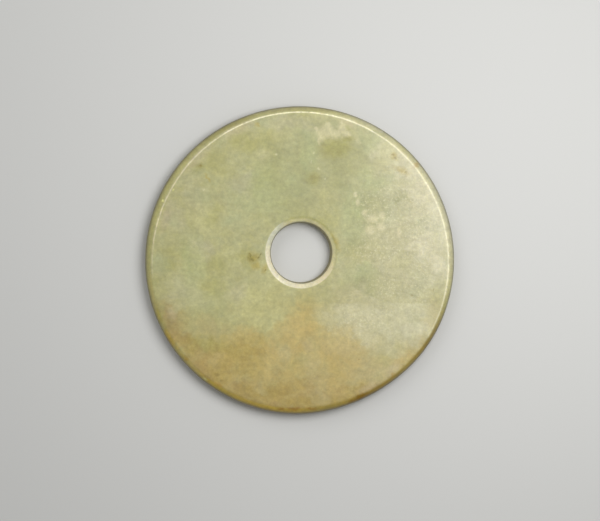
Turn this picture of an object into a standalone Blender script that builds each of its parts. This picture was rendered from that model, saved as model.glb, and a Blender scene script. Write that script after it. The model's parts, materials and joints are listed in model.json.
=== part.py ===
"""A jade bi disc: one flat ring of nephrite, lying on its underside.

The blank is turned, its worn and slightly uneven rim is eased out of round, and the bore is
drilled through it a little above the middle. Metres, +Z up, origin under the disc's middle.
"""

import math

import bmesh
import bpy
from mathutils import Vector

MM = 0.001
MERGE = 0.0001

# The disc
DISC_RADIUS = 75.0 * MM
THICKNESS = 9.0 * MM
DISC_SEGMENTS = 144

# How far the outline is from a true circle
OVALNESS = 0.17 * MM
LONG_AXIS = math.radians(10)
WORN_DEPTH = 0.85 * MM
WORN_DIRECTION = math.radians(-62)
WORN_HALF_WIDTH = math.radians(38)

# The rounded rim, between the arris round the top face and the one round the underside
RIM_WIDTH = 2.85 * MM
RIM_SLOPE_AT_ARRIS = math.radians(20)
RIM_STEPS = 6
RIM_LOBES = 3
TOP_LOBE_HEIGHT = 0.4 * MM
TOP_LOBE_DIRECTION = math.radians(30)
UNDERSIDE_LOBE_HEIGHT = 0.25 * MM
UNDERSIDE_LOBE_DIRECTION = math.radians(75)

# The bore, which was drilled from both faces until the two drillings met in a ridge
BORE_PLACE = Vector((0.25, 3.85, 0)) * MM
BORE_RADIUS = 15.25 * MM
BORE_SEGMENTS = 96
RIDGE_RADIUS = 14.5 * MM
RIDGE_DRIFT = Vector((-0.45, -0.15, 0)) * MM
CHAMFER_WIDTH = 2.25 * MM
CHAMFER_DEPTH = 1.8 * MM
OVERSHOOT = 2.0 * MM


def clear_scene():
    for thing in list(bpy.data.objects):
        bpy.data.objects.remove(thing)


def new_collection(name):
    collection = bpy.data.collections.new(name)
    bpy.context.scene.collection.children.link(collection)
    return collection


def nephrite():
    """Pale, slightly yellowish green stone with a dull polish."""
    material = bpy.data.materials.new("nephrite")
    material.use_nodes = True
    shader = material.node_tree.nodes["Principled BSDF"]
    shader.inputs["Base Color"].default_value = (0.44, 0.42, 0.23, 1)
    shader.inputs["Roughness"].default_value = 0.35
    shader.inputs["Metallic"].default_value = 0.0
    return material


def rim_profile():
    """(radius, height) down the rim: an arc out of the top face, a narrow land, and the same arc back in."""
    arc_radius = RIM_WIDTH / (1 - math.sin(RIM_SLOPE_AT_ARRIS))
    arc_centre = DISC_RADIUS - arc_radius
    drop = arc_radius * math.cos(RIM_SLOPE_AT_ARRIS)
    upper = []
    for step in range(RIM_STEPS + 1):
        tilt = RIM_SLOPE_AT_ARRIS + (math.pi / 2 - RIM_SLOPE_AT_ARRIS) * step / RIM_STEPS
        height = THICKNESS - drop + arc_radius * math.cos(tilt)
        upper.append((arc_centre + arc_radius * math.sin(tilt), height))
    lower = [(radius, THICKNESS - height) for radius, height in reversed(upper)]
    return upper + lower


def bore_profile():
    """(radius, height) down the drill: chamfer, wall, ridge, wall and chamfer, past both faces."""
    flare = CHAMFER_WIDTH / CHAMFER_DEPTH
    mouth = BORE_RADIUS + CHAMFER_WIDTH + flare * OVERSHOOT
    return [
        (mouth, THICKNESS + OVERSHOOT),
        (BORE_RADIUS, THICKNESS - CHAMFER_DEPTH),
        (RIDGE_RADIUS, THICKNESS / 2),
        (BORE_RADIUS, CHAMFER_DEPTH),
        (mouth, -OVERSHOOT),
    ]


def turned_solid(name, profile, segments):
    """A mesh turned about Z from a profile that runs from top to bottom, with flat ends."""
    points = [(radius, 0, height) for radius, height in profile]
    edges = [(i, i + 1) for i in range(len(points) - 1)]
    line = bpy.data.meshes.new(name + "_profile")
    line.from_pydata(points, edges, [])
    lathe = bpy.data.objects.new(name + "_profile", line)
    bpy.context.scene.collection.objects.link(lathe)

    screw = lathe.modifiers.new("Turn", "SCREW")
    screw.axis = "Z"
    screw.steps = segments
    screw.render_steps = segments
    screw.use_merge_vertices = True
    screw.merge_threshold = MERGE
    graph = bpy.context.evaluated_depsgraph_get()
    mesh = bpy.data.meshes.new_from_object(lathe.evaluated_get(graph))
    mesh.name = name
    bpy.data.objects.remove(lathe)
    bpy.data.meshes.remove(line)

    solid = bmesh.new()
    solid.from_mesh(mesh)
    open_ends = [edge for edge in solid.edges if edge.is_boundary]
    bmesh.ops.holes_fill(solid, edges=open_ends, sides=0)
    bmesh.ops.recalc_face_normals(solid, faces=solid.faces)
    solid.to_mesh(mesh)
    solid.free()
    return mesh


def outline_radius(direction):
    """The outline is a little longer along one axis, and worn back in one place."""
    oval = OVALNESS * math.cos(2 * (direction - LONG_AXIS))
    across = math.remainder(direction - WORN_DIRECTION, math.tau) / WORN_HALF_WIDTH
    worn = WORN_DEPTH * math.cos(across * math.pi / 2) ** 2 if abs(across) < 1 else 0
    return DISC_RADIUS + oval - worn


def rim_width(direction, on_top):
    """The rim was ground from three sides, so each arris swings in and out three times."""
    height = TOP_LOBE_HEIGHT if on_top else UNDERSIDE_LOBE_HEIGHT
    lobe_direction = TOP_LOBE_DIRECTION if on_top else UNDERSIDE_LOBE_DIRECTION
    return RIM_WIDTH + height * math.cos(RIM_LOBES * (direction - lobe_direction))


def ease_rim(mesh):
    """Moves each point of the true turned rim to where the real, uneven one runs."""
    for vertex in mesh.vertices:
        place = vertex.co
        direction = math.atan2(place.y, place.x)
        share_of_rim = 1 - (DISC_RADIUS - place.xy.length) / RIM_WIDTH
        width = rim_width(direction, place.z > THICKNESS / 2)
        radius = outline_radius(direction) - (1 - share_of_rim) * width
        vertex.co = (radius * math.cos(direction), radius * math.sin(direction), place.z)


def drift_ridge(mesh):
    """The two drillings weren't quite in line, so the ridge where they meet is off the bore's centre."""
    for vertex in mesh.vertices:
        if abs(vertex.co.z - THICKNESS / 2) < MERGE:
            vertex.co += RIDGE_DRIFT


def middle_of(mesh):
    """The middle of the mesh's box, seen from above."""
    xs = [vertex.co.x for vertex in mesh.vertices]
    ys = [vertex.co.y for vertex in mesh.vertices]
    return Vector((min(xs) + max(xs), min(ys) + max(ys), 0)) / 2


def build_drill(cutters, shift):
    mesh = turned_solid("drill", bore_profile(), BORE_SEGMENTS)
    drift_ridge(mesh)
    mesh.shade_smooth()
    drill = bpy.data.objects.new("drill", mesh)
    drill.location = BORE_PLACE - shift
    drill.hide_render = True
    drill.display_type = "WIRE"
    cutters.objects.link(drill)
    return drill


def build_disc(parts, cutters):
    mesh = turned_solid("bi_disc", rim_profile(), DISC_SEGMENTS)
    ease_rim(mesh)
    shift = middle_of(mesh)
    for vertex in mesh.vertices:
        vertex.co -= shift
    mesh.shade_smooth()
    mesh.set_sharp_from_angle(angle=RIM_SLOPE_AT_ARRIS * 0.9)
    mesh.materials.append(nephrite())
    disc = bpy.data.objects.new("bi_disc", mesh)
    parts.objects.link(disc)

    bore = disc.modifiers.new("Bore", "BOOLEAN")
    bore.operation = "DIFFERENCE"
    bore.solver = "EXACT"
    bore.object = build_drill(cutters, shift)


clear_scene()
build_disc(new_collection("jade_bi_disc"), new_collection("cutters"))
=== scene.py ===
import json
import math

import bpy
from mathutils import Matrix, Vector, noise


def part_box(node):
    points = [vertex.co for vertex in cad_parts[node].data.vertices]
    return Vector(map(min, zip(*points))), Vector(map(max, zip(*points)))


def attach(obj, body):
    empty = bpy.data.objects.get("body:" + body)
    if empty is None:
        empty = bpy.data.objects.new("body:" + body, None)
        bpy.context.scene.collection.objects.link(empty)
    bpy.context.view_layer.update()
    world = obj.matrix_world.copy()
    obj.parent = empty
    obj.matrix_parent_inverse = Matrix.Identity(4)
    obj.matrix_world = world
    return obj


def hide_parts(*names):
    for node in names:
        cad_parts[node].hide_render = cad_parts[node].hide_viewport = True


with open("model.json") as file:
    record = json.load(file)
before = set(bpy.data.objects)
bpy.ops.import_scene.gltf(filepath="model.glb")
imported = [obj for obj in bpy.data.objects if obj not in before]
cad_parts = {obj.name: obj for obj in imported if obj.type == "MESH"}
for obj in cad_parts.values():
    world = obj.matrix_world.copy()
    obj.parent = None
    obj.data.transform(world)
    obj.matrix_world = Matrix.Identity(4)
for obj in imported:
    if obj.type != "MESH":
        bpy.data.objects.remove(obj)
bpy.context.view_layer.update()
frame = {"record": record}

mm = 0.001
print("frame loaded")


def linear(hexTone):
    # a colour given as it looks on screen, such as "b2ac84", as the linear values that shaders want
    parts = [int(hexTone[i:i + 2], 16) / 255 for i in (0, 2, 4)]
    return tuple(((c + 0.055) / 1.055) ** 2.4 if c > 0.04045 else c / 12.92 for c in parts) + (1,)


def addNode(tree, kind, inputs=None, **settings):
    made = tree.nodes.new("ShaderNode" + kind)
    for name, value in settings.items():
        setattr(made, name, value)
    for name, value in (inputs or {}).items():
        if isinstance(value, bpy.types.NodeSocket):
            tree.links.new(value, made.inputs[name])
        else:
            made.inputs[name].default_value = value
    return made


def smoothBump(x):
    # 1 at 0, easing to 0 at +-1 and beyond
    return math.cos(min(abs(x), 1) * math.pi / 2) ** 2


def smoothRise(x):
    # 0 below 0, easing to 1 at 1 and beyond
    return 1 - smoothBump(max(x, 0))


# Sizes and places are in mm, directions in degrees anticlockwise from +X.
# The radius, the thickness and the bore's place come from the frame.
disc = {
    "inset": 0.02,                    # keeps the outline inside the frame's box
    "ovalness": 0.17,
    "longAxis": 10,
    "worn": {"depth": 0.70, "direction": -62, "halfWidth": 38},
    "rim": {
        "width": 3.25,                # from a face's arris out to the outline
        "arrisRound": 0.45,
        "lobeCount": 3,
        "top": {"lobes": (0.3, 30), "drift": (0.34, 165)},       # how far the arris swings, and where to
        "underside": {"lobes": (0.25, 75), "drift": (0.2, -40)},
    },
    "bore": {
        "shift": (0.97, -0.1),        # off the middle of the frame's opening, at the faces
        "radius": 15.0,
        "ridgeRadius": 14.3,          # where the two drillings meet
        "ridgeDrift": (-0.45, 0.0),
        "bevelWidth": 2.35,
        "bevelDepth": 1.8,
        "bevelBulge": 0.22,
        "edgeRound": 0.4,
        "drillRings": (0.9, 0.03),    # spacing, depth
        "ringReach": 0.3,             # how far past the bore's radius they go
    },
    "unevenness": {                   # size, depth
        "wave": (42, 0.05),
        "ripple": (9, 0.014),
        "peel": (2.4, 0.010),
    },
    "sawStep": {
        "from": (8, -20.6),
        "to": (58, -21.6),
        "depth": 0.05,
        "width": 1.2,
        "fade": 8,                    # how softly its ends run out
        "reach": 32,                  # how far the lower ground goes on below the line
        "skin": 1,                    # only stone this close under the top face has it
    },
    "chipEdges": {"size": 0.8, "amount": 0.35, "reach": 1.6},    # how uneven, and where they surely end
    "chips": {                        # place, radius, depth
        "nickLeftArris": ((-66.4, 28.8, 8.8), 0.9, 0.16),
        "nickUpperLeftArris": ((-61.2, 36.0, 8.9), 0.7, 0.12),
        "lowerLeft": ((-46.5, -57.0, 8.0), 1.6, 0.35),
        "lowerLeftSmall": ((-49.5, -53.6, 8.3), 1.1, 0.22),
        "bottom": ((1.5, -74.0, 7.6), 1.3, 0.25),
        "lowerRight": ((28.8, -65.8, 8.0), 1.8, 0.35),
        "hollowRight": ((54.5, -17.8, 9.0), 1.5, 0.10),
        "hollowUpperLeft": ((-47.8, 45.6, 9.0), 1.2, 0.08),
        "stainHollow": ((-22.5, 0.2, 9.0), 1.3, 0.10),
    },
    "mesh": {
        "around": 600,
        "topRings": 58,
        "undersideRings": 22,
        "rimRings": 10,
        "wallRings": 10,
        "bevelRings": 6,
        "wallCornerRings": 3,
        "cornerRings": 4,
        "middleSteps": 144,           # directions in which the outline's middle is looked for
    },
}

lowest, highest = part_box("bi_disc")
thickness = (highest.z - lowest.z) / mm
radius = highest.x / mm - disc["ovalness"] - disc["inset"]
opening = frame["record"]["physics"]["openings"][0]["box_m"]
openingMiddle = (Vector(opening[0][:2]) + Vector(opening[1][:2])) / 2 / mm
boreMiddle = openingMiddle + Vector(disc["bore"]["shift"])
bevelEdge = disc["bore"]["radius"] + disc["bore"]["bevelWidth"]
arrisRadius = radius - disc["rim"]["width"]


def outlineRadius(direction):
    oval = disc["ovalness"] * math.cos(2 * (direction - math.radians(disc["longAxis"])))
    worn = disc["worn"]
    across = math.remainder(direction - math.radians(worn["direction"]), math.tau)
    return radius + oval - worn["depth"] * smoothBump(across / math.radians(worn["halfWidth"]))


def rimWidth(direction, side):
    # the arris isn't quite round, nor quite in the middle
    rim = disc["rim"]
    swing, towards = rim[side]["lobes"]
    drift, wider = rim[side]["drift"]
    lobes = swing * math.cos(rim["lobeCount"] * (direction - math.radians(towards)))
    return rim["width"] + lobes + drift * math.cos(direction - math.radians(wider))


def outlineMiddle():
    # the turning centre isn't the middle of the uneven outline, which is the origin
    steps = disc["mesh"]["middleSteps"]
    directions = [math.tau * i / steps for i in range(steps)]
    xs = [outlineRadius(d) * math.cos(d) for d in directions]
    ys = [outlineRadius(d) * math.sin(d) for d in directions]
    return Vector(((min(xs) + max(xs)) / 2, (min(ys) + max(ys)) / 2))


def curveThrough(start, control, end, steps):
    # a quadratic curve, without its last point
    points = []
    for i in range(steps):
        t = i / steps
        points.append(start * (1 - t) ** 2 + control * (2 * t * (1 - t)) + end * t ** 2)
    return points


def roundedCorner(before, corner, after, size, steps):
    inward = corner + (before - corner).normalized() * size
    outward = corner + (after - corner).normalized() * size
    return curveThrough(inward, corner, outward, steps) + [outward]


def between(start, end, steps):
    # points strictly between two others
    return [start.lerp(end, i / (steps + 1)) for i in range(1, steps + 1)]


def rimArc():
    # (radius, height) from the arris down to the outline, which it meets upright at mid height
    slope = math.pi / 2 - 2 * math.atan(disc["rim"]["width"] / (thickness / 2))
    arcRadius = thickness / 2 / math.cos(slope)
    steps = disc["mesh"]["rimRings"]
    arc = []
    for i in range(1, steps + 1):
        tilt = slope + (math.pi / 2 - slope) * i / steps
        drop = arcRadius * (math.cos(slope) - math.cos(tilt))
        arc.append(Vector((radius - arcRadius * (1 - math.sin(tilt)), thickness - drop)))
    return arc


def halfSection(faceRings):
    # (radius, height) from the ridge in the bore up, over the face and down to mid rim
    bore, rings = disc["bore"], disc["mesh"]
    ridge = Vector((bore["ridgeRadius"], thickness / 2))
    wallTop = Vector((bore["radius"], thickness - bore["bevelDepth"]))
    bevelTop = Vector((bevelEdge, thickness))
    slant = (bevelTop - wallTop).normalized()
    # the bevel's curve bulges half as far out as the point that draws it
    bevelMiddle = (wallTop + bevelTop) / 2 + Vector((-slant.y, slant.x)) * bore["bevelBulge"] * 2
    arris = Vector((arrisRadius, thickness))
    arc = rimArc()

    points = [ridge] + between(ridge, wallTop, rings["wallRings"])[:-1]
    points += roundedCorner(ridge, wallTop, bevelMiddle, bore["edgeRound"], rings["wallCornerRings"])
    bevelStop = bevelTop + (bevelMiddle - bevelTop).normalized() * bore["edgeRound"]
    points += curveThrough(points[-1], bevelMiddle, bevelStop, rings["bevelRings"])[1:]
    points += roundedCorner(bevelMiddle, bevelTop, arris, bore["edgeRound"], rings["cornerRings"])
    faceEnd = arris - Vector((disc["rim"]["arrisRound"], 0))
    points += between(points[-1], faceEnd, faceRings)
    points += roundedCorner(bevelTop, arris, arc[0], disc["rim"]["arrisRound"], rings["cornerRings"])
    return points + arc[1:]


def wholeSection():
    top = halfSection(disc["mesh"]["topRings"])
    underside = halfSection(disc["mesh"]["undersideRings"])
    flipped = [Vector((p.x, thickness - p.y)) for p in reversed(underside)]
    return top + flipped[1:-1]     # the halves share the outline, and the ridge closes the loop


def onDisc(point, direction, middle):
    # takes a point of the even section to its place on the uneven disc
    away, height = point
    towards = Vector((math.cos(direction), math.sin(direction)))
    side = "top" if height > thickness / 2 else "underside"

    wallHeight = thickness / 2 - disc["bore"]["bevelDepth"]
    nearRidge = max(0, 1 - abs(height - thickness / 2) / wallHeight)
    atBore = boreMiddle + Vector(disc["bore"]["ridgeDrift"]) * nearRidge + towards * min(away, bevelEdge)

    inward = min(1, (radius - away) / disc["rim"]["width"])
    atRim = towards * (outlineRadius(direction) - inward * rimWidth(direction, side)) - middle

    share = min(1, max(0, (away - bevelEdge) / (arrisRadius - bevelEdge)))
    return Vector((*atBore.lerp(atRim, share), height))


def sawStepDepth(place):
    # two saw cuts met along a line, and the stone below it was ground a little deeper
    step = disc["sawStep"]
    start, end = Vector(step["from"]), Vector(step["to"])
    along = min(1, max(0, (place.x - start.x) / (end.x - start.x)))
    below = start.lerp(end, along).y - place.y
    ends = smoothRise((place.x - start.x) / step["fade"]) * smoothRise((end.x - place.x) / step["fade"])
    return step["depth"] * smoothRise(below / step["width"]) * ends * smoothBump(below / step["reach"])


def zeroToOne(wave):
    # for a wave that runs between -1 and 1
    return 0.5 + 0.5 * wave


def reliefDepth(place):
    # how far the worn surface lies under the even one
    depth = 0
    for size, amount in disc["unevenness"].values():
        depth += amount * zeroToOne(noise.noise(place / size))
    if (place.xy - boreMiddle).length < disc["bore"]["radius"] + disc["bore"]["ringReach"]:
        spacing, amount = disc["bore"]["drillRings"]
        depth += amount * zeroToOne(math.sin(math.tau * place.z / spacing))
    if place.z > thickness - disc["sawStep"]["skin"]:
        depth += sawStepDepth(place)
    edge = disc["chipEdges"]
    for chipPlace, chipRadius, chipDepth in disc["chips"].values():
        away = (place - Vector(chipPlace)).length / chipRadius
        if away < edge["reach"]:
            away += edge["amount"] * noise.noise(place / edge["size"])
            depth += chipDepth * smoothBump(away)
    return depth


def rimShare(point):
    # 0 on the arris between face and rim, 1 on the outline, less than 0 on a face
    return 1 - (radius - point.x) / disc["rim"]["width"]


def bevelShare(point):
    # 0 where the bore's bevel leaves a face, 1 where it meets the wall, more towards the ridge
    return (bevelEdge - point.x) / disc["bore"]["bevelWidth"]


def buildStone():
    middle = outlineMiddle()
    section = wholeSection()
    around = disc["mesh"]["around"]
    rings = len(section)
    points = []
    faces = []
    for i in range(around):
        direction = math.tau * i / around
        points += [onDisc(p, direction, middle) for p in section]
        here, there = i * rings, (i + 1) % around * rings
        for j in range(rings):
            k = (j + 1) % rings
            faces.append((here + j, here + k, there + k, there + j))
    mesh = bpy.data.meshes.new("jadeDisc")
    mesh.from_pydata([p * mm for p in points], [], faces)
    mesh.update()
    normals = [vertex.normal.copy() for vertex in mesh.vertices]
    for vertex, place, normal in zip(mesh.vertices, points, normals):
        vertex.co -= normal * reliefDepth(place) * mm
    for name, shareAt in (("rim", rimShare), ("bevel", bevelShare)):
        shares = [shareAt(p) for p in section] * around
        mesh.attributes.new(name, "FLOAT", "POINT").data.foreach_set("value", shares)
    mesh.shade_smooth()
    stone = bpy.data.objects.new("jadeDisc", mesh)
    bpy.context.scene.collection.objects.link(stone)
    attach(stone, "root")
    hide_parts("bi_disc")
    print("stone built:", len(mesh.polygons) * 2, "triangles")
    return stone


# Tones are given as they look on screen, and sizes in mm. A layer is one tone laid over the stone in
# soft-edged spots: (x, y, half width, half height, turn in degrees). Its edge may be "wandering",
# "ragged" or "close". It lies on the top face, unless it goes through the stone.
nephrite = {
    "gloss": {"size": 3.0, "detail": 3.0, "roughness": (0.30, 0.44)},
    "subsurface": {"weight": 0.30, "radius": 3.0, "shares": (1.0, 0.8, 0.4)},
    "body": {"size": 15, "detail": 4.0, "tones": [(0.34, "adae84"), (0.5, "b2af82"), (0.66, "adaa76")]},
    "zonePatches": {"size": 4.5, "detail": 3.0, "reach": (0.28, 0.6), "least": 0.65},
    "clouds": (5.5, 3.0, 0.40),       # size, detail, and how much lighter and darker they go
    "flecks": (2.3, 2.0, 0.50),
    "grain": (0.8, 1.0, 0.16),
    "mottleRoughness": 0.7,
    # pale specks in the granular places, partly the stone's own and partly painted glints
    "specksAndGlints": {"size": 1.3, "tone": "dcd7b0", "strength": 0.70, "reach": (0.50, 0.76)},
    "saturation": 1.075,
    "polish": {"size": 1.3, "detail": 3.0, "depth": 0.09, "between": 0.35},
    "granularPatches": {"size": 9, "reach": (0.4, 0.6), "least": 0.45},
    "layerDepths": {"top": 5, "through": 60},
    # how far edges wobble, as size and reach: a wandering edge is ragged, and bends and drifts too
    "wobbles": {"close": (0.9, 1.4), "ragged": (2.2, 3.0), "bends": (5, 7), "drifts": (14, 18)},
    "wobbleRoughness": 0.5,
}

# where the polish is granular, and the stone finely speckled with pale specks, partly painted glints
granular = {
    "edge": "wandering",
    "softness": 0.75,
    "strength": 1.0,
    "spots": [(50, 8, 20, 34, 0), (38, 26, 12, 10, 0), (30, -30, 14, 9, 0)],
}

zones = {
    "tanFade": {
        "tone": "b0a86e",
        "strength": 0.75,
        "softness": 0.90,
        "through": True,
        "edge": "wandering",
        "spots": [(-6, -27, 24, 12, 0), (-42, -37, 24, 12, -12), (18, -29, 18, 11, 0), (66, -27, 6, 7, 0)],
    },
    "brownEnd": {
        "tone": "b9a66d",
        "strength": 1.0,
        "softness": 0.80,
        "through": True,
        "edge": "wandering",
        "spots": [
            (0, -78, 70, 34, 0), (-42, -54, 20, 12, -10), (2, -38, 13, 15, 0), (-20, -48, 18, 13, 10),
            (20, -46, 18, 14, -8), (54, -50, 14, 9, 30), (-64, -38, 5, 6, 0),
        ],
    },
    "lowerDusk": {
        "tone": "a28d5e",
        "strength": 0.76,
        "softness": 0.80,
        "through": True,
        "edge": "wandering",
        "spots": [
            (0, -80, 56, 19, 0), (-46, -54, 12, 11, -40), (-60, -32, 5, 12, 20), (-30, -64, 9, 6, 25),
            (-9, -62, 7, 4, 0), (33, -63, 8, 4, 30),
        ],
    },
    # paler stone on the right side, with painted sheen
    "rightCreamAndSheen": {
        "tone": "bbb596",
        "strength": 0.55,
        "softness": 0.80,
        "edge": "wandering",
        "spots": [(52, 8, 20, 42, 0), (38, -20, 20, 20, 0)],
    },
    # a cream patch by the upper right edge, with painted sheen
    "edgeCreamAndSheen": {
        "tone": "d3cdb0",
        "strength": 0.65,
        "softness": 0.85,
        "edge": "wandering",
        "spots": [
            (66, 24, 9, 24, 18), (54, 47, 12, 6, -42), (59, 8, 5, 8, 0), (60, -34, 7, 4, 30),
            (66, -3, 4, 8, 0), (52, -34, 5, 3, 20), (35.5, 54, 4, 4, 0),
        ],
    },
    "paleBand": {
        "tone": "c5c19f",
        "strength": 0.72,
        "softness": 0.70,
        "edge": "wandering",
        "below": (-21, 0.6),
        "spots": [(40, -31, 20, 9, -4), (26, -27, 12, 7, 0), (54, -26, 9, 8, 0)],
    },
    "paleClouds": {
        "tone": "c0bd8c",
        "strength": 0.70,
        "softness": 0.80,
        "edge": "wandering",
        "spots": [
            (-52, -9, 8, 14, 0), (-22, -22, 14, 7, -10), (-13, -8, 8, 10, 0), (-45, 19, 3.5, 5, 0),
            (-16, 63, 5, 5, 0), (-34, 5, 4, 3.5, 0), (-14, -27, 5, 5, 0),
        ],
    },
    "duskyBand": {
        "tone": "9d9c6e",
        "strength": 0.80,
        "softness": 0.85,
        "edge": "wandering",
        "spots": [
            (1, 41, 10, 20, 0), (20, 44, 11, 10, 0), (28, 26, 10, 9, 0), (27, 8, 6, 5, 0),
            (-10, 52, 8, 7, 0), (28, 51, 8, 5, 0), (33, -12, 8, 4, 0), (12, 67, 6, 3, -8),
            (48, 29, 4, 4, 0), (20, 35, 7, 5, 0),
        ],
    },
    "greenClouds": {
        "tone": "a9ae7e",
        "strength": 0.60,
        "softness": 0.85,
        "edge": "wandering",
        "spots": [
            (-52, -4, 5, 13, 0), (-48, 31, 5, 5, 0), (-17, 34, 12, 13, 0), (26, 22, 6, 11, 0),
            (30, -7, 7, 4, 0), (4, 50, 4, 9, 0), (33, 57, 4, 3.5, 0), (34, 38, 5, 6, 0),
        ],
    },
    "greyClouds": {
        "tone": "b5b091",
        "strength": 0.50,
        "softness": 0.85,
        "edge": "wandering",
        "spots": [
            (-60, 25, 6, 9, 20), (-27, 38, 5, 6, 0), (-45, 7, 7, 4, 0), (-57, -16, 7, 6, 0),
            (-31, -18, 5, 4, 0), (-5, 66, 14, 4, 0), (-51, 30, 6, 10, 15),
        ],
    },
    "oliveClouds": {
        "tone": "a6a264",
        "strength": 0.50,
        "softness": 0.80,
        "edge": "wandering",
        "spots": [
            (-65, -1, 3.5, 5, 0), (-42, -11, 4.5, 8, 10), (-24, 0, 4, 4, 0), (-44, 45, 7, 6, 30),
            (-22, 57, 10, 5, 0), (-45, -42, 8, 4, -20), (13, 18, 4, 5, 0),
        ],
    },
    "oliveBrown": {
        "tone": "a99757",
        "strength": 0.60,
        "softness": 0.75,
        "through": True,
        "edge": "wandering",
        "spots": [
            (-30, -47, 14, 6, -30), (-25, -38, 7, 4, 0), (-55, -41, 5, 5, -30), (-38, -56, 6, 4, 30),
            (-16, -63, 15, 5, 10), (5, -68, 20, 3, 0), (29, -64, 10, 4, 25),
        ],
    },
    "orangeTan": {
        "tone": "c2ac6c",
        "strength": 0.22,
        "softness": 0.85,
        "edge": "wandering",
        "spots": [
            (1, -32, 5, 6, 0), (-41, -51, 8, 4, -20), (18, -58, 6, 6, 0), (22, -42, 9, 5, 0),
            (-2, -54, 4, 7, 0),
        ],
    },
    "lightTan": {
        "tone": "c5b680",
        "strength": 0.50,
        "softness": 0.85,
        "edge": "wandering",
        "spots": [
            (-4, -34, 8, 5, 0), (-29, -36, 6, 4, 0), (17, -37, 6, 3, 0), (-17, -52, 5, 3, 10),
            (-40, -51, 3, 3, 0), (9, -48, 3, 5, 0),
        ],
    },
    "greyTan": {
        "tone": "b5aa80",
        "strength": 0.50,
        "softness": 0.80,
        "edge": "wandering",
        "spots": [
            (8, -55, 4.5, 6, 0), (8, -41, 5, 3, 0), (-20, -62, 3, 4, 0), (10, -64, 3, 4, 0),
            (-44, -33, 9, 4, 0), (-8, -45, 6, 4, 0), (32, -52, 8, 6, 0), (65, -28, 4, 5, 0),
            (19, -43, 6, 4, 0),
        ],
    },
    "pinkTint": {
        "tone": "c1b296",
        "strength": 0.40,
        "softness": 0.85,
        "edge": "ragged",
        "spots": [
            (-30, 64, 8, 2.5, 25), (-50, 49, 7, 2.5, 45), (-65, 20, 2, 6, -15), (23.5, 66.7, 4, 1.5, -20),
            (33, -62.5, 5, 2, 28), (45, -53, 4, 2, 45), (-62, -26, 2, 3, 25),
        ],
    },
}

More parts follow.
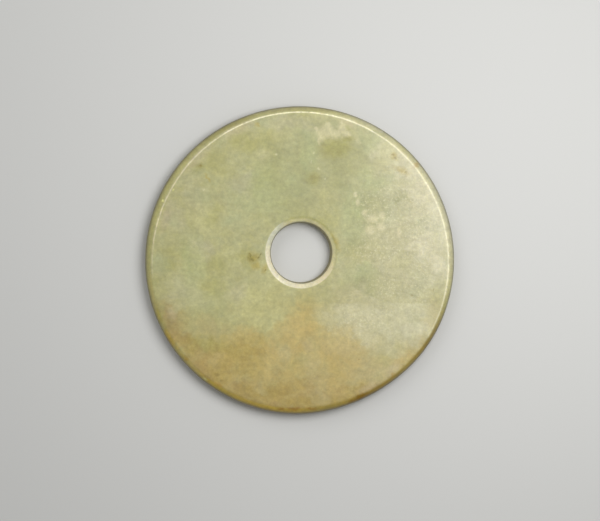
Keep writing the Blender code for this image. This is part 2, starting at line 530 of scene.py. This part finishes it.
marks = {
    "creamCloud": {
        "tone": "cfc8a0",
        "strength": 0.62,
        "softness": 0.55,
        "edge": "ragged",
        "spots": [
            (13.2, 62.3, 3.4, 3.2, 0), (16.5, 60.8, 2.3, 2.6, 0), (10.6, 60.6, 2.1, 3.0, 0),
            (9.7, 57.6, 0.9, 2.0, 0), (20.6, 63.2, 1.8, 3.2, 10), (22.8, 61.0, 1.9, 2.0, 0),
            (20.7, 66.2, 0.8, 1.7, 0), (13.6, 65.4, 1.1, 1.7, 0), (8.3, 63.4, 0.9, 1.3, 20),
            (18.6, 61.6, 1.6, 1.4, 0),
        ],
    },
    "creamPatch": {
        "tone": "d2caa4",
        "strength": 0.62,
        "softness": 0.65,
        "edge": "close",
        "spots": [
            (34.3, 14.5, 2.3, 2.0, 0), (39.6, 16.1, 1.9, 1.9, 0), (35.3, 20.0, 2.7, 1.8, 0),
            (40.0, 21.2, 1.5, 1.8, 0), (31.5, 22.6, 1.1, 1.6, 0), (48.1, 13.2, 1.1, 2.0, 0),
            (28.2, 27.9, 1.0, 1.5, 0), (27.0, 31.7, 1.0, 1.2, 0),
        ],
    },
    "faintPatches": {
        "tone": "c3bf96",
        "strength": 0.45,
        "softness": 0.80,
        "edge": "ragged",
        "spots": [
            (28.2, 57.2, 1.0, 1.4, 30), (-46.0, 34.0, 2.4, 1.4, 0), (-18, 51, 4, 2.5, 0),
            (41, 53, 6, 4.5, -40),
        ],
    },
    "ochreStains": {
        "tone": "ac9a4e",
        "strength": 0.55,
        "softness": 0.85,
        "edge": "ragged",
        "spots": [
            (-22.5, 0.9, 2.4, 2.6, 0), (-21.0, -2.6, 2.0, 2.0, 20), (-16.8, -4.2, 1.2, 2.2, -20),
            (49.5, 43.2, 3.2, 1.5, -25), (45.8, 50.4, 1.8, 1.5, -40), (17.6, 8.6, 1.0, 4.0, 25),
            (-20.4, 65.6, 1.0, 1.0, 0), (-44.3, 39.4, 0.5, 2.2, 32),
        ],
    },
    "oliveBelowCloud": {
        "tone": "979352",
        "strength": 0.78,
        "softness": 0.60,
        "edge": "ragged",
        "spots": [(17.3, 54.4, 7.4, 4.8, 8), (14.8, 53.5, 3.0, 2.4, 0), (23.0, 58.3, 3.0, 1.6, 0)],
    },
    "oliveSpots": {
        "tone": "8f8846",
        "strength": 0.55,
        "softness": 0.85,
        "edge": "ragged",
        "spots": [(6.8, 39.4, 3.0, 2.8, 0), (-23.6, 1.0, 1.4, 1.4, 0), (-48.0, 45.4, 1.6, 1.2, 0)],
    },
    "whiteFlecks": {
        "tone": "d6d2ac",
        "strength": 0.50,
        "softness": 0.85,
        "edge": "close",
        "spots": [
            (5.7, 47.6, 0.25, 0.7, 0), (9.2, 44.1, 0.45, 0.6, 30), (-11.3, 51.1, 0.5, 0.5, 0),
            (-46.4, 34.0, 0.6, 0.4, 0), (47.9, 20.3, 0.4, 0.4, 0), (12.4, 39.2, 0.25, 0.5, 0),
            (6.9, 51.8, 0.35, 0.5, 0),
        ],
    },
    "cracks": {
        "tone": "736a2e",
        "strength": 0.62,
        "softness": 0.80,
        "edge": "close",
        "spots": [
            (-23.9, 2.4, 0.34, 1.1, 25), (-22.9, 0.2, 0.9, 0.6, -35), (-19.0, 2.4, 0.28, 1.1, -25),
            (-19.9, 1.1, 0.28, 0.6, -45), (-16.5, -4.9, 0.24, 0.7, -30),
        ],
    },
    "brownSpecks": {
        "tone": "7c6c3c",
        "strength": 0.50,
        "softness": 0.85,
        "edge": "close",
        "spots": [
            (45.2, 51.1, 0.6, 0.5, 0), (46.3, 49.3, 0.55, 0.45, 0), (51.4, 42.5, 0.5, 0.4, 0),
            (-47.8, 45.7, 0.6, 0.5, 0), (54.5, -17.3, 0.9, 0.5, -30), (64.9, -14.5, 0.3, 0.8, 0),
            (-38.0, -58.4, 0.6, 0.5, 0), (-39.8, -55.6, 1.2, 0.7, 0), (28.6, -48.2, 0.35, 0.35, 0),
        ],
    },
}

# Shares run from 0 on the arris to 1 on the outline, and across the bevel from 0 to 1 at the wall.
edges = {
    "rim": {"tone": "b0ab74", "brownTone": "bea54f", "starts": 0.0, "full": 0.45, "strength": 0.85},
    # painted shade on the rim's outer part, where it turns away from the light
    "shadedOutline": {"tone": "575035", "starts": 0.55, "full": 1.0, "strength": 0.72},
    "bevelEdge": {"starts": -0.1, "full": 0.15, "strength": 1.0},
    # the bevel's pale tone: partly its own paler ground stone, partly painted light that lifts its shaded
    # side
    "bevel": {"tone": "e1dbae", "starts": -0.05, "full": 0.8, "strength": 0.9},
    # painted shade on the bore's wall
    "shadedBoreWall": {"tone": "6b6438", "starts": 0.92, "full": 1.05, "strength": 0.9},
}

# painted highlights along the arris, each a pale line, which thins and breaks where the wobble is over the
# gaps' first value
arrisHighlights = {
    "right": {
        "tone": "ded8b6",
        "middle": 0.06,
        "halfWidth": (0.22, 0.20),    # to where it fades, and how softly
        "wobble": (3.5, 0.25),
        "gaps": (0.70, 0.45, 0.5, 1.0),
        "strength": 0.50,
        "softness": 0.60,
        "edge": "wandering",
        "spots": [(62, 20, 26, 46, 25), (26, 66, 14, 8, -20)],
    },
    "top": {
        "tone": "f3eecb",
        "middle": -0.04,
        "halfWidth": (0.10, 0.07),
        "wobble": (3.5, 0.14),
        "gaps": (0.66, 0.50, 0.5, 1.0),
        "strength": 0.95,
        "softness": 0.60,
        "edge": "wandering",
        "spots": [(0, 72, 50, 30, 0)],
    },
    "upperRight": {
        "tone": "ece7c4",
        "middle": 0.0,
        "halfWidth": (0.10, 0.07),
        "wobble": (3.5, 0.16),
        "gaps": (0.66, 0.50, 0.4, 1.0),
        "strength": 0.75,
        "softness": 0.60,
        "edge": "wandering",
        "spots": [(66, 14, 24, 46, 22)],
    },
    "left": {
        "tone": "ded5b2",
        "middle": -0.04,
        "halfWidth": (0.10, 0.07),
        "wobble": (3.5, 0.12),
        "gaps": (0.66, 0.50, 0.5, 1.0),
        "strength": 0.80,
        "softness": 0.60,
        "edge": "wandering",
        "spots": [(-67, 33, 22, 32, -22)],
    },
}

rimLayers = {
    # painted light on the upper right of the rim, which faces the light
    "paintedRimLight": {
        "tone": "bdbaa0",
        "strength": 0.85,
        "softness": 0.70,
        "through": True,
        "edge": "ragged",
        "spots": [(76, 26, 22, 42, 25), (40, 70, 22, 12, -28)],
    },
    "duskyRim": {
        "tone": "8c8550",
        "strength": 0.70,
        "softness": 0.80,
        "through": True,
        "edge": "ragged",
        "spots": [
            (-8, 76, 30, 4, 0), (-36, 67, 16, 6, 28), (63, -40, 9, 15, -30), (54, -54, 10, 9, 0),
            (18, -74, 18, 5, 15),
        ],
    },
    "greyRim": {
        "tone": "ada888",
        "strength": 0.50,
        "softness": 0.80,
        "through": True,
        "edge": "ragged",
        "spots": [(-5, 76, 30, 6, 0)],
    },
    "yellowRim": {
        "tone": "b5a347",
        "strength": 0.60,
        "softness": 0.75,
        "through": True,
        "edge": "ragged",
        "spots": [
            (-55.5, -48.0, 3, 6, -45), (-68, -26, 2.5, 12, -20), (60, -41.5, 3, 5, -35),
            (-46.5, -57.2, 3, 1.5, -40), (-40, -61, 6, 3, -30),
        ],
    },
    "brownRim": {
        "tone": "80681a",
        "strength": 0.82,
        "softness": 0.80,
        "through": True,
        "edge": "ragged",
        "spots": [(38, -63, 20, 11, 34), (62, -40, 6, 14, -33)],
    },
    "dullRim": {
        "tone": "bcb074",
        "strength": 0.70,
        "softness": 0.80,
        "through": True,
        "edge": "ragged",
        "spots": [(-54, -54, 8, 6, -45), (-71, -16, 4, 16, -12)],
    },
}

# over the edge and the stone beside it
edgeMarks = {
    "stain": {
        "tone": "7a5a08",
        "strength": 0.92,
        "softness": 0.80,
        "edge": "ragged",
        "spots": [(29.3, -67.0, 3.6, 1.6, 25), (26.0, -68.4, 2.4, 0.9, 25)],
    },
    "rustSpots": {
        "tone": "ae8c46",
        "strength": 0.50,
        "softness": 0.80,
        "edge": "ragged",
        "spots": [
            (45.1, -55.9, 1.2, 0.8, 45), (-39.4, -60.6, 1.6, 0.9, -30), (-54.8, -48.0, 1.0, 0.7, -45),
            (57.0, 46.6, 1.1, 2.2, -40),
        ],
    },
    "redMarks": {
        "tone": "8a5f2c",
        "strength": 0.50,
        "softness": 0.80,
        "edge": "ragged",
        "spots": [(-2.4, -72.4, 3.0, 0.8, 0), (5.6, -72.2, 2.6, 0.7, 0), (-9, -72.4, 2, 0.5, 0)],
    },
    "nicks": {
        "tone": "e2e09c",
        "strength": 0.75,
        "softness": 0.80,
        "edge": "close",
        "spots": [(-66.1, 28.8, 0.5, 0.7, 0), (-61.2, 34.0, 0.5, 0.5, 0), (-46.0, -57.8, 1.2, 0.7, -40)],
    },
}

# painted highlights on the side of the bore's bevel that faces the light, and a painted bluish-white
# reflection on its upper left
bevelHighlights = {
    "warmBevelHighlight": {
        "tone": "e8d9ba",
        "strength": 0.60,
        "softness": 0.70,
        "through": True,
        "edge": "ragged",
        "spots": [(12, -8, 6, 6, 0)],
    },
    "creamBevelHighlight": {
        "tone": "e2dbc0",
        "strength": 0.95,
        "softness": 0.45,
        "through": True,
        "edge": "ragged",
        "spots": [(-11, -9, 20, 18, 40)],
    },
    "bevelReflection": {
        "tone": "d2d3c0",
        "strength": 0.80,
        "softness": 0.60,
        "through": True,
        "edge": "ragged",
        "spots": [(-14, 14, 7, 7, 0)],
    },
}


def multiplied(tree, first, second):
    return addNode(tree, "Math", {0: first, 1: second}, operation="MULTIPLY").outputs[0]


def blend(tree, share, under, over):
    # sockets 6 and 7 and output 2 of a Mix node are its colours
    return addNode(tree, "Mix", {0: share, 6: under, 7: over}, data_type="RGBA").outputs[2]


def spread(tree, value, low, high, bottom=0.0, top=1.0):
    return addNode(tree, "MapRange", {
        "Value": value,
        "From Min": low,
        "From Max": high,
        "To Min": bottom,
        "To Max": top,
    }, interpolation_type="SMOOTHSTEP", clamp=False).outputs[0]     # it never leaves its range anyway


def scaled(tree, vector, factor):
    return addNode(tree, "VectorMath", {0: vector, "Scale": factor}, operation="SCALE").outputs[0]


def cloud(tree, place, size, detail=2.0, roughness=0.6):
    settings = {"Vector": place, "Scale": 1 / size, "Detail": detail, "Roughness": roughness}
    return addNode(tree, "TexNoise", settings)


def warped(tree, place, wobble):
    # moves places about sideways, so that what is drawn there gets an uneven edge
    size, amount = nephrite["wobbles"][wobble]
    offset = cloud(tree, place, size, roughness=nephrite["wobbleRoughness"]).outputs["Color"]
    centred = addNode(tree, "VectorMath", {0: offset, 1: (0.5, 0.5, 0.5)}, operation="SUBTRACT").outputs[0]
    sideways = {0: centred, 1: (amount, amount, 0), 2: place}
    return addNode(tree, "VectorMath", sideways, operation="MULTIPLY_ADD").outputs[0]


def ramp(tree, value, stops):
    made = addNode(tree, "ValToRGB", {0: value})
    elements = made.color_ramp.elements
    while len(elements) < len(stops):
        elements.new(1.0)
    for element, (position, tone) in zip(elements, stops):
        element.position = position
        element.color = linear(tone)
    return made.outputs[0]


def shaded(tree, colour, place, size, detail, amount):
    # lighter and darker by up to half the amount
    value = cloud(tree, place, size, detail, nephrite["mottleRoughness"]).outputs[0]
    factor = addNode(tree, "MapRange", {"Value": value, "To Min": 1 - amount / 2, "To Max": 1 + amount / 2})
    return scaled(tree, colour, factor.outputs[0])


def layerMask(tree, places, layer):
    # 1 inside any of a layer's spots, falling softly to 0 around them
    through = layer.get("through")
    height = thickness / 2 if through else thickness
    reach = nephrite["layerDepths"]["through" if through else "top"]
    outer = 1 + layer["softness"]
    mask = None
    for x, y, halfWidth, halfHeight, turn in layer["spots"]:
        mapped = addNode(tree, "Mapping", {
            "Vector": places[layer["edge"]],
            "Location": (x, y, height),
            "Rotation": (0, 0, math.radians(turn)),
            "Scale": (halfWidth * outer, halfHeight * outer, reach),
        }, vector_type="TEXTURE").outputs[0]
        near = addNode(tree, "TexGradient", {"Vector": mapped}, gradient_type="SPHERICAL").outputs["Fac"]
        inside = spread(tree, near, 0, 2 * layer["softness"] / outer, 0, layer["strength"])
        if mask:
            inside = addNode(tree, "Math", {0: mask, 1: inside}, operation="MAXIMUM").outputs[0]
        mask = inside
    if "below" in layer:
        line, soft = layer["below"]
        mask = multiplied(tree, mask, spread(tree, places["y"], line + soft, line - soft))
    return mask


def layered(tree, places, colour, layers):
    for layer in layers.values():
        colour = blend(tree, layerMask(tree, places, layer), colour, linear(layer["tone"]))
    return colour


def faceColour(tree, places):
    body = nephrite["body"]
    colour = ramp(tree, cloud(tree, places["even"], body["size"], body["detail"]).outputs[0], body["tones"])
    patches = nephrite["zonePatches"]
    patchy = cloud(tree, places["even"], patches["size"], patches["detail"]).outputs[0]
    density = spread(tree, patchy, *patches["reach"], patches["least"])
    for layer in zones.values():
        share = multiplied(tree, layerMask(tree, places, layer), density)
        colour = blend(tree, share, colour, linear(layer["tone"]))
    return layered(tree, places, colour, marks)


def edgeShare(tree, along, edge):
    return spread(tree, along, edge["starts"], edge["full"], 0, edge["strength"])


def arrisHighlightShare(tree, places, rim, line):
    size, amount = line["wobble"]
    wobble = cloud(tree, places["even"], size).outputs[0]
    wobbly = addNode(tree, "Math", {0: wobble, 1: amount, 2: rim}, operation="MULTIPLY_ADD").outputs[0]
    half, soft = line["halfWidth"]
    middle = line["middle"] + amount / 2
    share = multiplied(
        tree,
        spread(tree, wobbly, middle - half - soft, middle - half + soft),
        spread(tree, wobbly, middle + half + soft, middle + half - soft),
    )
    share = multiplied(tree, share, spread(tree, wobble, *line["gaps"]))
    return multiplied(tree, share, layerMask(tree, places, line))


def withEdges(tree, places, colour):
    rim = addNode(tree, "Attribute", attribute_name="rim").outputs["Fac"]
    bevel = addNode(tree, "Attribute", attribute_name="bevel").outputs["Fac"]

    brown = layerMask(tree, places, zones["brownEnd"])
    tone = blend(tree, brown, linear(edges["rim"]["tone"]), linear(edges["rim"]["brownTone"]))
    tone = layered(tree, places, tone, rimLayers)
    colour = blend(tree, edgeShare(tree, rim, edges["rim"]), colour, tone)

    # painted highlights along the arris
    for line in arrisHighlights.values():
        colour = blend(tree, arrisHighlightShare(tree, places, rim, line), colour, linear(line["tone"]))
    colour = layered(tree, places, colour, edgeMarks)
    # painted shade round the outline
    shadedOutline = edges["shadedOutline"]
    colour = blend(tree, edgeShare(tree, rim, shadedOutline), colour, linear(shadedOutline["tone"]))

    # pale bevel, partly its own stone and partly painted light
    inner = edges["bevel"]
    tone = blend(tree, edgeShare(tree, bevel, inner), colour, linear(inner["tone"]))
    # painted highlights and reflection on the bevel
    tone = layered(tree, places, tone, bevelHighlights)
    colour = blend(tree, edgeShare(tree, bevel, edges["bevelEdge"]), colour, tone)
    # painted shade on the bore's wall
    wall = edges["shadedBoreWall"]
    return blend(tree, edgeShare(tree, bevel, wall), colour, linear(wall["tone"]))


def grained(tree, places, colour, roughness):
    place = places["even"]
    for size, detail, amount in (nephrite["clouds"], nephrite["flecks"], nephrite["grain"]):
        colour = shaded(tree, colour, place, size, detail, amount)
    # pale specks, partly the stone's own and partly painted glints
    specksAndGlints = nephrite["specksAndGlints"]
    specks = cloud(tree, place, specksAndGlints["size"]).outputs[0]
    specks = spread(tree, specks, *specksAndGlints["reach"], 0, specksAndGlints["strength"])
    colour = blend(tree, multiplied(tree, specks, roughness), colour, linear(specksAndGlints["tone"]))
    return addNode(tree, "HueSaturation", {"Color": colour, "Saturation": nephrite["saturation"]}).outputs[0]


def nephriteMaterial():
    material = bpy.data.materials.new("nephrite")
    material.use_nodes = True
    tree = material.node_tree
    shader = tree.nodes["Principled BSDF"]
    subsurface = nephrite["subsurface"]
    shader.inputs["Subsurface Weight"].default_value = subsurface["weight"]
    shader.inputs["Subsurface Radius"].default_value = subsurface["shares"]
    shader.inputs["Subsurface Scale"].default_value = subsurface["radius"] * mm

    even = scaled(tree, addNode(tree, "TexCoord").outputs["Object"], 1 / mm)
    parted = addNode(tree, "SeparateXYZ", {0: even})
    ragged = warped(tree, even, "ragged")
    places = {
        "even": even,
        "y": parted.outputs["Y"],
        "close": warped(tree, even, "close"),
        "ragged": ragged,
        "wandering": warped(tree, warped(tree, ragged, "bends"), "drifts"),
    }

    patches = nephrite["granularPatches"]
    patchy = spread(tree, cloud(tree, even, patches["size"]).outputs[0], *patches["reach"], patches["least"])
    roughness = multiplied(tree, layerMask(tree, places, granular), patchy)
    colour = withEdges(tree, places, faceColour(tree, places))
    colour = grained(tree, places, colour, roughness)
    tree.links.new(colour, shader.inputs["Base Color"])

    polish = nephrite["polish"]
    grain = cloud(tree, even, polish["size"], polish["detail"]).outputs[0]
    height = multiplied(tree, grain, spread(tree, roughness, 0, 1, polish["between"]))
    bump = addNode(tree, "Bump", {"Height": height, "Distance": polish["depth"] * mm})
    tree.links.new(bump.outputs[0], shader.inputs["Normal"])

    gloss = nephrite["gloss"]
    low, high = gloss["roughness"]
    value = cloud(tree, even, gloss["size"], gloss["detail"]).outputs[0]
    worn = addNode(tree, "MapRange", {"Value": value, "To Min": low, "To Max": high})
    tree.links.new(worn.outputs[0], shader.inputs["Roughness"])
    print("nephrite made:", len(tree.nodes), "nodes")
    return material


stone = buildStone()
stone.data.materials.append(nephriteMaterial())


# sizes and places are in metres and powers in watts
studio = {
    "floor": {"tone": "cfcfcc", "half": 3.0, "roughness": 0.9},
    "worldStrength": 0.33,
    "lights": {
        "key": {"place": (0.167, 0.096, 0.395), "size": 0.30, "power": 1.33},
        "top": {"place": (-0.32, 0.46, 0.57), "size": 0.55, "power": 1.25},
    },
}


def addLight(name, settings):
    light = bpy.data.lights.new(name, "AREA")
    light.shape = "DISK"
    light.size = settings["size"]
    light.energy = settings["power"]
    lamp = bpy.data.objects.new(name, light)
    lamp.location = settings["place"]
    lamp.rotation_euler = (-Vector(settings["place"])).to_track_quat("-Z", "Y").to_euler()
    bpy.context.scene.collection.objects.link(lamp)


def buildStudio():
    half = studio["floor"]["half"]
    corners = [(-half, -half, 0), (half, -half, 0), (half, half, 0), (-half, half, 0)]
    mesh = bpy.data.meshes.new("floor")
    mesh.from_pydata(corners, [], [(0, 1, 2, 3)])
    paint = bpy.data.materials.new("floorPaint")
    paint.use_nodes = True
    shader = paint.node_tree.nodes["Principled BSDF"]
    shader.inputs["Base Color"].default_value = linear(studio["floor"]["tone"])
    shader.inputs["Roughness"].default_value = studio["floor"]["roughness"]
    mesh.materials.append(paint)
    floor = bpy.data.objects.new("floor", mesh)
    bpy.context.scene.collection.objects.link(floor)

    world = bpy.data.worlds.new("studioAir")
    world.use_nodes = True
    air = world.node_tree.nodes["Background"]
    air.inputs["Color"].default_value = (1, 1, 1, 1)
    air.inputs["Strength"].default_value = studio["worldStrength"]
    bpy.context.scene.world = world
    for name, settings in studio["lights"].items():
        addLight(name, settings)
    bpy.context.scene.view_settings.view_transform = "Standard"


# looks straight down
camera = {"lens": 150, "place": (0.2 * mm, -0.27 * mm, 1.2195)}


def buildCamera():
    lens = bpy.data.cameras.new("overhead")
    lens.lens = camera["lens"]
    eye = bpy.data.objects.new("camera", lens)
    eye.location = camera["place"]
    bpy.context.scene.collection.objects.link(eye)
    bpy.context.scene.camera = eye


buildStudio()
buildCamera()
print("studio built")
